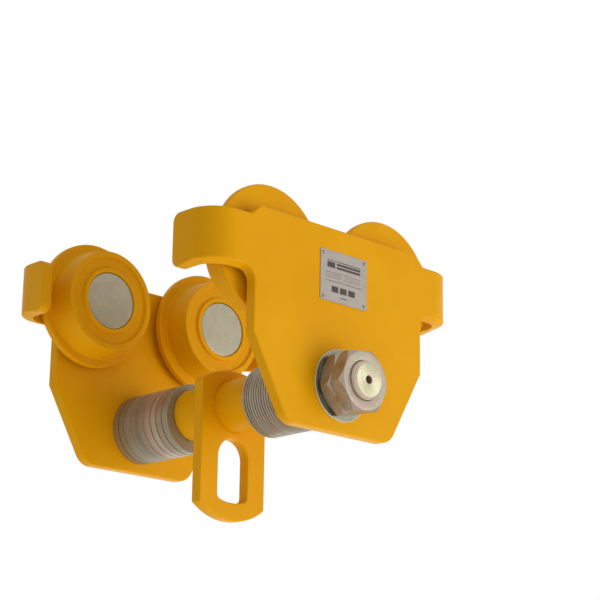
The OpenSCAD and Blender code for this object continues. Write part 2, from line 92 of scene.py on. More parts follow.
# Side plates, heights from the load shaft
PLATE_T = 16
PLATE_HALF = 150
PLATE_TOP = 206
PLATE_DROP = 61
SLOPE_TOP = 42
BOTTOM_HALF = 91
BOTTOM_R = 26
PLATE_EDGE = 2.2
SHAFT_HOLE_R = 25.2
SHAFT_HOLE_EDGE = 0.8
AXLE_SEAT_R = 14.1
AXLE_SEAT_DEPTH = 9.1

# Bumper wings
WING_REACH = 222
WING_TOP = 192
WING_BOTTOM = 121
WING_DEPTH = 74.5
WING_BEND_R = 27
WING_TIP_R = 12
WING_FILLET_R = 15
WING_EDGE_RISE = 4.5
NOTCH_R = 5
NOTCH_GAP = 6
WING_BEND_STEPS = 14

# Wheels, measured from the outboard face inward
FLANGE_R = 87.5
FLANGE_W = 10
TREAD_R = 75
TREAD_END_R = 70
WHEEL_W = 47.5
TREAD_ROOT_R = 3
WEB_RECESS = 4
RECESS_SLANT = 1
RECESS_IN_R = 46
RECESS_OUT_R = 62
BEARING_R = 40.1
SHOULDER_R = 33.5
LIP_W = 13.9
CLIP_GROOVE_R = 42.3
CLIP_START = 35.1
CLIP_END = 37.7
CAP_R = 40
CAP_T = 2
CAP_START = 37.8
CAP_FACE = 46.5
COLLAR_R = 23
SPIGOT_R = 14
SPIGOT_DEPTH = 9
AXLE_R = 17.5
AXLE_LIP = 14
AXLE_END = 39.7
AXLE_GROOVE_DEPTH = 1
AXLE_GROOVE_W = 1.6
SIDE_GAP = 7.5

# Load shaft, washers and nuts
SHAFT_R = 25
SHAFT_CHAMFER = 3.5
CENTRE_HOLE_R = 5
CENTRE_HOLE_DEPTH = 14
CENTRE_HOLE_SINK = 1.3
THREAD_PITCH = 3
THREAD_DEPTH = 1.1
THREAD_CREST = 0.25
THREAD_FROM_PLATE = 2
THREAD_TO_END = 0.3
WASHER_R = 48
OUTER_WASHER_R = 46.75
WASHER_HOLE_R = 25.2
WASHER_BEVEL = 0.7
WASHER_HOLE_EDGE = 0.3
WASHER_RIM_BAND = 1.2
WASHER_SHY = 0.25
THIN_T = 4.5
THICK_T = 12
LAY_GAP = 0.05
NUT_FLATS_R = 38
NUT_T = 20.5
NUT_FACE_R = 37.5
NUT_CORNER_SLOPE = 38
NUT_CORNER_R = 1.8
NUT_EDGE = 0.35
NUT_HOLE_R = 25.2
NUT_MOUTH = 1.2
NUT_TURN = {"inner": 11, "lock": 7}

# Hanger, heights from the load shaft
HANGER_HALF = 57.3
HANGER_T = 17
HANGER_TOP = 53
HANGER_DROP = 150
TOP_ARC_R = 102
BOTTOM_ARC_R = 92
HANGER_CORNER_R = 5
HANGER_EDGE = 2.6
SLOT_HALF = 26
SLOT_TOP = 40
SLOT_LAND = 24
SLOT_CORNER_R = 8
SLOT_EDGE = 2
SLEEVE_R = 35.75
SLEEVE_RISE = 4
SLEEVE_BORE_R = 25.08
SLEEVE_EDGE = 1.2
SLEEVE_BORE_EDGE = 0.5
SEAM_GAP = 0.1
SEAM_EDGE = 0.5

# Nameplate
TAG_CORNER_R = 3
TAG_EDGE = 0.15
TAG_HOLE_EDGE = 0.05
RIVET_INSET = 5
RIVET_HEAD_R = 2.3
RIVET_HEAD_H = 1.2
RIVET_SHANK_R = 1.4
RIVET_LENGTH = 6
INK_H = 0.06

ARC_STEP = 7.5


# Outlines
def turned_by(vector, angle):
    c, s = math.cos(angle), math.sin(angle)
    return Vector((vector.x * c - vector.y * s, vector.x * s + vector.y * c))


def arc(centre, start, end, step=ARC_STEP):
    """Points about centre from start to end, the shorter way round, both ends included."""
    a, b = Vector(start) - Vector(centre), Vector(end) - Vector(centre)
    turn = math.atan2(a.x * b.y - a.y * b.x, a.dot(b))
    steps = max(2, math.ceil(abs(math.degrees(turn)) / step))
    return [Vector(centre) + turned_by(a, turn * i / steps) for i in range(steps + 1)]


def rounded(corners, step=ARC_STEP):
    """A closed outline from corners (a, b, radius), each with its tangent arc."""
    points = []
    for i, (a, b, radius) in enumerate(corners):
        here = Vector((a, b))
        if radius <= 0:
            points.append(here)
            continue
        back = (Vector(corners[i - 1][:2]) - here).normalized()
        ahead = (Vector(corners[(i + 1) % len(corners)][:2]) - here).normalized()
        half = back.angle(ahead) / 2
        centre = here + (back + ahead).normalized() * radius / math.sin(half)
        reach = radius / math.tan(half)
        points += arc(centre, here + back * reach, here + ahead * reach, step)
    return points


def circle(centre, radius, count=96):
    return [Vector(centre) + turned_by(Vector((radius, 0)), math.tau * i / count)
            for i in range(count)]


def signed_area(points):
    return sum(p.x * q.y - q.x * p.y for p, q in zip(points, points[1:] + points[:1])) / 2


def shifted(points, distance):
    """The outline moved sideways, to the left of its direction, with mitred corners."""
    result = []
    for i, here in enumerate(points):
        back = (here - points[i - 1]).normalized()
        ahead = (points[(i + 1) % len(points)] - here).normalized()
        normal = Vector((-back.y - ahead.y, back.x + ahead.x)).normalized()
        result.append(here + normal * distance / max(0.3, normal.dot(Vector((-back.y, back.x)))))
    return result


def mirrored(half):
    """Both halves of an outline, from its right half drawn upwards from the bottom middle."""
    return half + [Vector((-p.x, p.y)) for p in reversed(half)]


# Meshes
def slab(loops, thickness, seats=()):
    """A plate in the plane of its first two axes, from 0 to thickness along the third.
    Each loop is (points, edge radius), the outline first and then its holes. A seat is a blind
    round hole (centre, radius, depth) from the side at thickness."""
    bm = bmesh.new()
    edge_steps = 4
    face_rings = {0: [], thickness: []}
    for i, (points, edge) in enumerate(loops):
        if (signed_area(points) > 0) != (i == 0):
            points = points[::-1]
        levels = []
        for k in range(edge_steps + 1):
            turn = math.pi / 2 * k / edge_steps
            levels.append((edge * (1 - math.sin(turn)), edge * (1 - math.cos(turn))))
        levels += [(inset, thickness - depth) for inset, depth in reversed(levels)]
        rings = [[bm.verts.new((p.x, p.y, depth)) for p in shifted(points, inset)]
                 for inset, depth in levels]
        join_rings(bm, rings)
        face_rings[0].append(rings[0])
        face_rings[thickness].append(rings[-1])
    for centre, radius, depth in seats:
        rings = [[bm.verts.new((p.x, p.y, level)) for p in circle(centre, radius, 48)]
                 for level in (thickness, thickness - depth)]
        join_rings(bm, rings)
        bm.faces.new(rings[1])
        face_rings[thickness].append(rings[0])
    for rings in face_rings.values():
        corners = [v for ring in rings for v in ring]
        for triangle in tessellate_polygon([[v.co for v in ring] for ring in rings]):
            bm.faces.new([corners[i] for i in triangle])
    return bm


def join_rings(bm, rings, closed=False):
    """Faces between rings of vertices, where a ring of one vertex is a pole."""
    pairs = list(zip(rings, rings[1:]))
    if closed:
        pairs.append((rings[-1], rings[0]))
    for low, high in pairs:
        count = max(len(low), len(high))
        for i in range(count):
            j = (i + 1) % count
            if len(low) == 1:
                bm.faces.new((low[0], high[i], high[j]))
            elif len(high) == 1:
                bm.faces.new((low[i], low[j], high[0]))
            else:
                bm.faces.new((low[i], low[j], high[j], high[i]))


def lathe(bm, profile, centre, direction=1, count=128, closed=True):
    """Turns a profile of (radius, distance) about a line along Y through centre."""
    rings = []
    for radius, distance in profile:
        level = centre[1] + direction * distance
        if radius < 1e-6:
            rings.append([bm.verts.new((centre[0], level, centre[2]))])
            continue
        rings.append([bm.verts.new((centre[0] + p.x, level, centre[2] + p.y))
                      for p in circle((0, 0), radius, count)])
    join_rings(bm, rings, closed)


def box(bm, low, high):
    """A plain box, for the strips printed on the nameplate."""
    corner = [bm.verts.new((x, y, z)) for x in (low[0], high[0])
              for y in (low[1], high[1]) for z in (low[2], high[2])]
    for face in ((0, 1, 3, 2), (4, 6, 7, 5), (0, 4, 5, 1),
                 (2, 3, 7, 6), (0, 2, 6, 4), (1, 5, 7, 3)):
        bm.faces.new([corner[i] for i in face])


def piece(name, bm, materials, body, nodes=()):
    """Makes an object of a mesh drawn in millimetres and ties it to the frame."""
    bmesh.ops.recalc_face_normals(bm, faces=bm.faces)
    bmesh.ops.scale(bm, vec=(MM, MM, MM), verts=bm.verts)
    mesh = bpy.data.meshes.new(name)
    bm.to_mesh(mesh)
    bm.free()
    for polygon in mesh.polygons:
        polygon.use_smooth = True
    for material in materials:
        mesh.materials.append(material)
    obj = bpy.data.objects.new(name, mesh)
    bpy.context.scene.collection.objects.link(obj)
    modifier = obj.modifiers.new("Face normals", "WEIGHTED_NORMAL")
    modifier.weight = 100
    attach(obj, body)
    if nodes:
        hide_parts(*nodes)
    return obj


# Materials
def srgb(red, green, blue):
    """A linear colour from the eight-bit values that it is seen as."""
    def linear(value):
        value /= 255
        return value / 12.92 if value <= 0.04045 else ((value + 0.055) / 1.055) ** 2.4
    return (linear(red), linear(green), linear(blue), 1)


class Finish:
    """A material under construction, with its Principled shader."""

    def __init__(self, name, **sockets):
        self.material = bpy.data.materials.new(name)
        self.material.use_nodes = True
        self.tree = self.material.node_tree
        self.shader = self.tree.nodes["Principled BSDF"]
        self.place = self.tree.nodes.new("ShaderNodeTexCoord").outputs["Object"]
        for socket, value in sockets.items():
            self.shader.inputs[socket.replace("_", " ")].default_value = value

    def node(self, kind, **values):
        made = self.tree.nodes.new(kind)
        for key, value in values.items():
            setattr(made, key, value)
        return made

    def link(self, source, target):
        self.tree.links.new(source, target)

    def stretched(self, scale):
        """Object coordinates multiplied by scale."""
        mapping = self.node("ShaderNodeMapping")
        mapping.inputs["Scale"].default_value = scale
        self.link(self.place, mapping.inputs["Vector"])
        return mapping.outputs["Vector"]

    def noise(self, size_mm, detail=3, roughness=0.5, stretch=(1, 1, 1)):
        """Noise whose features are about size_mm across."""
        texture = self.node("ShaderNodeTexNoise")
        texture.inputs["Scale"].default_value = 1 / (size_mm * MM)
        texture.inputs["Detail"].default_value = detail
        texture.inputs["Roughness"].default_value = roughness
        self.link(self.stretched(stretch), texture.inputs["Vector"])
        return texture.outputs["Fac"]

    def ramp(self, factor, stops):
        """Colours at places from 0 to 1."""
        ramp = self.node("ShaderNodeValToRGB")
        band = ramp.color_ramp.elements
        while len(band) < len(stops):
            band.new(0.5)
        for element, (place, colour) in zip(band, stops):
            element.position = place
            element.color = colour
        self.link(factor, ramp.inputs["Fac"])
        return ramp.outputs["Color"]

    def mix(self, factor, first, second):
        """Mixes two colours, each a value or another node's output."""
        made = self.node("ShaderNodeMix", data_type="RGBA")
        inputs = {"Factor": made.inputs[0], "A": made.inputs[6], "B": made.inputs[7]}
        for key, value in (("Factor", factor), ("A", first), ("B", second)):
            if isinstance(value, bpy.types.NodeSocket):
                self.link(value, inputs[key])
            else:
                inputs[key].default_value = value
        return made.outputs[2]

    def spread(self, value, low, high):
        """A value from 0.3 to 0.7, as noise gives, spread from low to high."""
        made = self.node("ShaderNodeMapRange")
        limits = {"From Min": 0.3, "From Max": 0.7, "To Min": low, "To Max": high}
        for socket, number in limits.items():
            made.inputs[socket].default_value = number
        self.link(value, made.inputs["Value"])
        return made.outputs["Result"]

    def colour(self, output):
        self.link(output, self.shader.inputs["Base Color"])

    def roughness(self, output):
        self.link(output, self.shader.inputs["Roughness"])

    def turned(self, axis_z, share):
        """Stretches highlights as fine turning marks about the shaft do."""
        from_axis = self.node("ShaderNodeVectorMath", operation="SUBTRACT")
        from_axis.inputs[1].default_value = (0, 0, axis_z * MM)
        self.link(self.place, from_axis.inputs[0])
        along = self.node("ShaderNodeVectorMath", operation="CROSS_PRODUCT")
        along.inputs[1].default_value = (0, 1, 0)
        self.link(from_axis.outputs[0], along.inputs[0])
        self.link(along.outputs[0], self.shader.inputs["Tangent"])
        self.shader.inputs["Anisotropic"].default_value = share

    def bump(self, height, depth_mm, strength=1.0):
        """Adds a bump on top of those that are already there."""
        made = self.node("ShaderNodeBump")
        made.inputs["Distance"].default_value = depth_mm * MM
        made.inputs["Strength"].default_value = strength
        self.link(height, made.inputs["Height"])
        normal = self.shader.inputs["Normal"]
        if normal.is_linked:
            self.link(normal.links[0].from_socket, made.inputs["Normal"])
        self.link(made.outputs["Normal"], normal)


def yellow_paint():
    """Smooth semi-gloss lacquer with a fine orange peel and faint unevenness."""
    finish = Finish("Yellow lacquer", Roughness=0.42)
    finish.shader.inputs["Specular IOR Level"].default_value = 0.08
    broad = finish.ramp(finish.noise(90, 2), [(0.35, srgb(232, 163, 2)), (0.65, srgb(237, 169, 6))])
    fine = finish.noise(1.6, 2)
    finish.colour(finish.mix(finish.spread(fine, 0.0, 0.12), broad, srgb(216, 144, 2)))
    finish.roughness(finish.spread(finish.noise(12, 3), 0.38, 0.48))
    finish.bump(finish.noise(2.2, 1), 0.03, 0.5)
    return finish.material


def zinc(name, tints, stretch=(1, 1, 1), roughness=(0.3, 0.45), patch_mm=22, metallic=1.0,
         turned=0):
    """Passivated zinc: tints that run into one another, under fine lines left by machining."""
    finish = Finish(name, Metallic=metallic)
    patches = finish.ramp(finish.noise(patch_mm, 3, 0.6), tints)
    fine = finish.noise(1.2, 3, 0.6, stretch)
    finish.colour(finish.mix(finish.spread(fine, 0.0, 0.35), patches, srgb(112, 100, 82)))
    finish.roughness(finish.spread(finish.noise(5, 2), *roughness))
    finish.bump(fine, 0.05, 0.5)
    if turned:
        finish.turned(SHAFT_Z, turned)
    return finish.material


def washer_zinc():
    """Zinc whose tint also differs from washer to washer, with painted shade in the grooves between
    washers.
    """
    finish = Finish("Washer zinc", Metallic=0.45)
    tint = finish.node("ShaderNodeAttribute", attribute_name="tint").outputs["Fac"]
    own = finish.ramp(tint, [
        (0.0, srgb(158, 138, 104)), (0.25, srgb(198, 184, 160)), (0.45, srgb(148, 144, 114)),
        (0.6, srgb(204, 168, 148)), (0.8, srgb(156, 164, 144)), (1.0, srgb(182, 146, 106))])
    patches = finish.ramp(finish.noise(16, 3, 0.6), [
        (0.36, srgb(166, 140, 124)), (0.5, srgb(172, 162, 142)), (0.64, srgb(146, 152, 132))])
    base = finish.mix(0.3, own, patches)
    fine = finish.noise(0.9, 3, 0.6, (1, 2.5, 1))
    worn = finish.mix(finish.spread(fine, 0.0, 0.35), base, srgb(110, 98, 80))
    # Painted shade: the bevels between washers are darkened towards near black by a vertex
    # attribute.
    groove = finish.node("ShaderNodeAttribute", attribute_name="groove").outputs["Fac"]
    finish.colour(finish.mix(groove, worn, srgb(40, 33, 26)))
    finish.roughness(finish.spread(finish.noise(4, 2), 0.34, 0.5))
    finish.bump(fine, 0.05, 0.5)
    return finish.material


def brushed_tag():
    """Matt aluminium sheet with short brush strokes along it."""
    finish = Finish("Tag aluminium", Metallic=0.75)
    strokes = finish.noise(0.7, 4, 0.6, (0.06, 1, 1))
    finish.colour(finish.ramp(strokes, [(0.35, srgb(150, 142, 134)), (0.65, srgb(172, 163, 154))]))
    finish.roughness(finish.spread(strokes, 0.42, 0.58))
    finish.bump(strokes, 0.02, 0.6)
    return finish.material


def tag_ink():
    """Dark print, a little thin in places."""
    finish = Finish("Tag ink", Roughness=0.6)
    finish.colour(finish.ramp(
        finish.noise(0.8, 3), [(0.4, srgb(44, 41, 40)), (0.75, srgb(86, 80, 76))]))
    finish.roughness(finish.spread(finish.noise(0.5, 2), 0.5, 0.7))
    return finish.material


def steel(name, dark, light, roughness):
    """Ground or sprung steel, with fine marks."""
    finish = Finish(name, Metallic=1.0)
    marks = finish.noise(1.5, 4, 0.6, (1, 6, 1))
    finish.colour(finish.ramp(marks, [(0.35, dark), (0.65, light)]))
    finish.roughness(finish.spread(marks, *roughness))
    finish.bump(marks, 0.02, 0.4)
    return finish.material


PAINT = yellow_paint()
# Two copies of one nut zinc: the faces' paler pinkish one and the flats' darker browner one are
# painted light and shade for how light falls on each side.
NUT_FACE = zinc("Nut face zinc", [
    (0.36, srgb(186, 152, 150)), (0.43, srgb(172, 158, 146)), (0.5, srgb(186, 164, 144)),
    (0.57, srgb(158, 154, 146)), (0.64, srgb(174, 168, 136))],
    patch_mm=8, metallic=0.8)
NUT_FLAT_SHADE = zinc("Nut flat zinc with painted shade", [
    (0.34, srgb(158, 134, 100)), (0.5, srgb(168, 152, 126)), (0.66, srgb(176, 166, 148))],
    stretch=(1, 0.25, 1), patch_mm=16, metallic=0.45)
SHAFT_END = zinc("Shaft end zinc", [
    (0.36, srgb(204, 190, 162)), (0.5, srgb(202, 198, 164)), (0.64, srgb(186, 192, 162))],
    roughness=(0.38, 0.5), patch_mm=12, turned=0.6)
SHAFT_SIDE = zinc("Shaft side zinc", [
    (0.36, srgb(216, 184, 174)), (0.5, srgb(226, 204, 178)), (0.64, srgb(212, 192, 168))],
    metallic=0.5)
CENTRE_HOLE = zinc("Centre hole zinc", [
    (0.36, srgb(172, 146, 128)), (0.64, srgb(190, 170, 148))], metallic=0.6)
OUTER_WASHER = zinc("Outer washer zinc", [
    (0.36, srgb(122, 132, 116)), (0.5, srgb(146, 144, 124)), (0.64, srgb(134, 146, 132))],
    patch_mm=18, metallic=0.85)
# A pale, little metallic zinc for the outer washers' rims: a painted highlight along the rim.
RIM_HIGHLIGHT = zinc("Rim highlight zinc", [
    (0.36, srgb(222, 206, 166)), (0.64, srgb(230, 224, 196))], metallic=0.3)
CAP_ZINC = zinc("Cap zinc", [
    (0.3, srgb(168, 158, 134)), (0.5, srgb(174, 166, 142)), (0.7, srgb(162, 160, 138))],
    patch_mm=30, metallic=0.9)
WASHER_ZINC = washer_zinc()
TAG_METAL = brushed_tag()
TAG_INK = tag_ink()
RIVET_METAL = steel("Rivet steel", srgb(112, 104, 98), srgb(150, 142, 134), (0.3, 0.45))
BRIGHT_STEEL = steel("Bright steel", srgb(150, 150, 150), srgb(186, 186, 184), (0.25, 0.4))
BEARING_STEEL = steel("Bearing steel", srgb(176, 178, 180), srgb(206, 208, 210), (0.12, 0.22))
SPRING_STEEL = steel("Spring steel", srgb(52, 52, 54), srgb(84, 82, 80), (0.35, 0.5))

HIDDEN_FINISH = {
    "bearing_outer_ring": BEARING_STEEL,
    "bearing_inner_ring": BEARING_STEEL,
    "bearing_balls": BEARING_STEEL,
    "axle_circlip": SPRING_STEEL,
    "bore_circlip": SPRING_STEEL,
}


# Side plates
def plate_half_outline(reach):
    """The right half of a side plate laid flat, whose wing ends at reach."""
    notch_rise = PLATE_TOP - WING_TOP
    notch_x = PLATE_HALF + NOTCH_GAP
    corners = [
        (-BOTTOM_HALF, -PLATE_DROP, 0),
        (BOTTOM_HALF, -PLATE_DROP, BOTTOM_R),
        (PLATE_HALF, SLOPE_TOP, 0),
        (PLATE_HALF, WING_BOTTOM, WING_FILLET_R),
        (reach, WING_BOTTOM, WING_TIP_R),
        (reach, WING_TOP, WING_TIP_R),
        (notch_x, WING_TOP, NOTCH_R),
        (notch_x - notch_rise, PLATE_TOP, NOTCH_R),
        (-PLATE_HALF, PLATE_TOP, 0),
    ]
    return [p for p in rounded(corners) if p.x > 0]


def side_plate(side):
    """One thick plate whose two wings are bent inboard round a constant radius. The bending
    leaves their lower edge a little higher on the outside."""
    bend_out = WING_BEND_R + PLATE_T
    bend_x = WING_REACH - bend_out
    bend_len = math.pi / 2 * (WING_BEND_R + PLATE_T / 2)
    reach = bend_x + bend_len + WING_DEPTH - bend_out
    pitch = middle_mm(f"wheel_{side}_right").x
    axle_z = middle_mm(f"wheel_{side}_right").z - SHAFT_Z
    bm = slab(
        [(mirrored(plate_half_outline(reach)), PLATE_EDGE),
         (circle((0, 0), SHAFT_HOLE_R), SHAFT_HOLE_EDGE)],
        PLATE_T,
        [((s * pitch, axle_z), AXLE_SEAT_R, AXLE_SEAT_DEPTH) for s in (-1, 1)])
    for s in (-1, 1):
        for i in range(WING_BEND_STEPS + 1):
            line = s * (bend_x + bend_len * i / WING_BEND_STEPS)
            bmesh.ops.bisect_plane(bm, geom=bm.verts[:] + bm.edges[:] + bm.faces[:],
                                   plane_co=(line, 0, 0), plane_no=(1, 0, 0))
    fade_from, fade_to = reach - 3 * WING_TIP_R, reach - WING_TIP_R
    for v in bm.verts:
        along, height, depth = v.co
        fade = min(1, max(0, (fade_to - abs(along)) / (fade_to - fade_from)))
        start = min(1, max(0, (abs(along) - PLATE_HALF) / WING_FILLET_R))
        low = min(1, max(0, 1 - (height - WING_BOTTOM) / (WING_TOP - WING_BOTTOM)))
        height += WING_EDGE_RISE * fade * start * low * (1 - depth / PLATE_T)
        past = max(0, abs(along) - bend_x)
        turn = min(past, bend_len) / bend_len * math.pi / 2
        straight = max(0, past - bend_len)
        x = min(abs(along), bend_x) + (bend_out - depth) * math.sin(turn)
        inboard = bend_out - (bend_out - depth) * math.cos(turn) + straight
        v.co = (math.copysign(x, along), PLATE_Y[side] + INBOARD[side] * inboard, SHAFT_Z + height)
    piece(f"{side}_side_plate_painted", bm, [PAINT], "carriage",
          [f"{side}_side_plate"])


# Wheels
def wheel_profile():
    return rounded([
        (SHOULDER_R, 0, 1.5), (FLANGE_R, 0, 2), (FLANGE_R, FLANGE_W, 2),
        (TREAD_R, FLANGE_W, TREAD_ROOT_R), (TREAD_END_R, WHEEL_W, 1.5),
        (RECESS_OUT_R, WHEEL_W, 1), (RECESS_OUT_R - RECESS_SLANT, WHEEL_W - WEB_RECESS, 1.5),
        (RECESS_IN_R + RECESS_SLANT, WHEEL_W - WEB_RECESS, 1.5), (RECESS_IN_R, WHEEL_W, 1),
        (BEARING_R, WHEEL_W, 0.6), (BEARING_R, CLIP_END, 0), (CLIP_GROOVE_R, CLIP_END, 0),
        (CLIP_GROOVE_R, CLIP_START, 0), (BEARING_R, CLIP_START, 0), (BEARING_R, LIP_W, 0.5),
        (SHOULDER_R, LIP_W, 0.8),
    ], step=18)


def cap_profile():
    return rounded([
        (0, CAP_FACE - CAP_T, 0), (CAP_R - CAP_T, CAP_FACE - CAP_T, 0.6),
        (CAP_R - CAP_T, CAP_START, 0.4), (CAP_R, CAP_START, 0.4),
        (CAP_R, CAP_FACE, 2.2), (0, CAP_FACE, 0),
    ], step=15)


def axle_profile():
    groove_r, groove_end = AXLE_R - AXLE_GROOVE_DEPTH, CLIP_START + AXLE_GROOVE_W
    return rounded([
        (0, -SIDE_GAP - SPIGOT_DEPTH, 0), (SPIGOT_R, -SIDE_GAP - SPIGOT_DEPTH, 0.8),
        (SPIGOT_R, -SIDE_GAP, 0), (COLLAR_R, -SIDE_GAP, 0.6), (COLLAR_R, AXLE_LIP, 0.6),
        (AXLE_R, AXLE_LIP, 0), (AXLE_R, CLIP_START, 0), (groove_r, CLIP_START, 0),
        (groove_r, groove_end, 0), (AXLE_R, groove_end, 0),
        (AXLE_R, AXLE_END, 1), (0, AXLE_END, 0),
    ], step=18)


def wheel_pieces(side, end):
    corner = f"{side}_{end}"
    centre = middle_mm(f"wheel_{corner}")
    low, high = box_mm(f"wheel_{corner}")
    centre.y = low.y if side == "near" else high.y
    parts = (
        ("wheel", wheel_profile(), True, PAINT, f"wheel_{corner}", "yellow_paint"),
        ("dust_cap", cap_profile(), False, CAP_ZINC, f"wheel_{corner}", "zinc_plate"),
        ("axle", axle_profile(), False, BRIGHT_STEEL, "carriage", "bright_steel"),
    )
    for name, profile, closed, material, body, slot in parts:
        bm = bmesh.new()
        lathe(bm, profile, centre, INBOARD[side], closed=closed)
        piece(f"{name}_{corner}_turned", bm, [material], body, [f"{name}_{corner}"])


# Load shaft, washers and nuts
def shaft_profile(half, thread_from):
    """The shaft's radius limits from its middle to an end, as (distance, radius, thread share)."""
    steps_per_turn = 10
    rows = [(0, SHAFT_R, 0), (thread_from, SHAFT_R, 0)]
    count = math.floor((half - THREAD_TO_END - thread_from) / THREAD_PITCH * steps_per_turn)
    for i in range(1, count + 1):
        at = thread_from + i * THREAD_PITCH / steps_per_turn
        rows.append((at, min(SHAFT_R, SHAFT_R - SHAFT_CHAMFER + half - at), 1))
    face_r = SHAFT_R - SHAFT_CHAMFER
    rows += [
        (half, face_r - THREAD_TO_END, 0), (half, CENTRE_HOLE_R + CENTRE_HOLE_SINK, 0),
        (half - CENTRE_HOLE_SINK, CENTRE_HOLE_R, 0), (half - CENTRE_HOLE_DEPTH, CENTRE_HOLE_R, 0),
        (half - CENTRE_HOLE_DEPTH - CENTRE_HOLE_R / 2, 0, 0),
    ]
    return rows


def load_shaft():
    """A round bar with screw threads under the nuts and a centre hole in each end."""
    count = 128
    low, high = box_mm("load_shaft")
    middle = (low + high) / 2
    half = (high.y - low.y) / 2
    bm = bmesh.new()
    for side, sign in (("near", -1), ("far", 1)):
        thread_from = abs(PLATE_Y[side] - middle.y) + THREAD_FROM_PLATE
        rings = []
        for at, limit, threaded in shaft_profile(half, thread_from):
            if limit == 0:
                rings.append([bm.verts.new((middle.x, middle.y + sign * at, middle.z))])
                continue
            ring = []
            for i in range(count):
                turn = i / count
                tooth = abs((at / THREAD_PITCH + sign * turn) % 1 - 0.5) * 2
                cut = max(0, (1 + THREAD_CREST) * tooth - THREAD_CREST)
                radius = min(limit, SHAFT_R - threaded * THREAD_DEPTH * cut)
                p = turned_by(Vector((radius, 0)), math.tau * turn)
                ring.append(bm.verts.new((middle.x + p.x, middle.y + sign * at, middle.z + p.y)))
            rings.append(ring)
        join_rings(bm, rings)
    bmesh.ops.remove_doubles(bm, verts=bm.verts, dist=0.001)
    end_face_y = half - SHAFT_CHAMFER * 0.15
    for face in bm.faces:
        at = face.calc_center_median() - middle
        if abs(at.y) > end_face_y:
            face.material_index = 1
        elif math.hypot(at.x, at.z) < CENTRE_HOLE_R + 0.1:
            face.material_index = 2
    piece("load_shaft_threaded", bm, [SHAFT_SIDE, SHAFT_END, CENTRE_HOLE], "carriage",
          ["load_shaft"])


def washer_profile(thickness, rim_r):
    return rounded([
        (WASHER_HOLE_R, 0, WASHER_HOLE_EDGE), (rim_r, 0, WASHER_BEVEL),
        (rim_r, thickness, WASHER_BEVEL), (WASHER_HOLE_R, thickness, WASHER_HOLE_EDGE),
    ], step=30)


def washers(node, thickness, materials, chance, starts, rim_r=WASHER_R, dark=1.0):
    """Washers that each sit a little differently on the shaft, with a tint of their own. Their
    faces stay a little shy of one another, and painted shade darkens the grooves between their
    rims, as strongly as dark says. A second material goes on the rims, a painted highlight."""
    bm = bmesh.new()
    tint = bm.verts.layers.float.new("tint")
    groove = bm.verts.layers.float.new("groove")
    slack = WASHER_HOLE_R - SHAFT_R
    for i, start in enumerate(starts):
        known = len(bm.verts)
        aside = turned_by(Vector((slack * 0.8 * chance.random(), 0)), math.tau * chance.random())
        own = chance.random()
        first, last = i == 0, i == len(starts) - 1
        low = start + (0 if first else WASHER_SHY)
        high = start + thickness - (0 if last else WASHER_SHY)
        lathe(bm, washer_profile(high - low, rim_r), (aside.x, low, SHAFT_Z + aside.y), count=112)
        bm.verts.ensure_lookup_table()
        for v in bm.verts[known:]:
            v[tint] = own
            # Painted shade: vertices on the bevels between washers get a darkness that fades out
            # across the bevel.
            inside = min(WASHER_BEVEL if first else v.co.y - low,
                         WASHER_BEVEL if last else high - v.co.y)
            v[groove] = dark * max(0, 1 - inside / WASHER_BEVEL)
    # The rim faces take the second material, the painted rim highlight.
    if len(materials) > 1:
        bm.normal_update()
        for face in bm.faces:
            middle = face.calc_center_median()
            rim = math.hypot(middle.x, middle.z - SHAFT_Z) > rim_r - WASHER_RIM_BAND
            face.material_index = int(rim and abs(face.normal.y) < 0.99)
    piece(f"{node}_laid", bm, materials, "carriage", [node])


def stack_starts(low, high, pitch):
    """Lower ends of the washers that fill a stretch of the shaft."""
    return [low + i * pitch for i in range(round((high - low) / pitch))]


def all_washers():
    chance = random.Random(7)
    # The far thin washers get weaker painted shade in their grooves than the near ones.
    for node, dark in (("near_thin_washers", 1.0), ("far_thin_washers", 0.45)):
        low, high = box_mm(node)
        washers(node, THIN_T - LAY_GAP, [WASHER_ZINC], chance, stack_starts(low.y, high.y, THIN_T),
                dark=dark)
    low, high = box_mm("near_thick_washers")
    washers("near_thick_washers", THICK_T - LAY_GAP, [WASHER_ZINC], chance,
            stack_starts(low.y, high.y, THICK_T))
    low, high = box_mm("far_thick_washers")
    thin_low, thin_high = box_mm("far_thin_washers")
    starts = stack_starts(low.y, thin_low.y, THICK_T)
    starts += stack_starts(thin_high.y + LAY_GAP, high.y, THICK_T)
    washers("far_thick_washers", THICK_T - LAY_GAP, [WASHER_ZINC], chance, starts)
    for side in SIDES:
        low, high = box_mm(f"{side}_outer_washer")
        washers(f"{side}_outer_washer", high.y - low.y, [OUTER_WASHER, RIM_HIGHLIGHT], chance,
                [low.y], OUTER_WASHER_R)


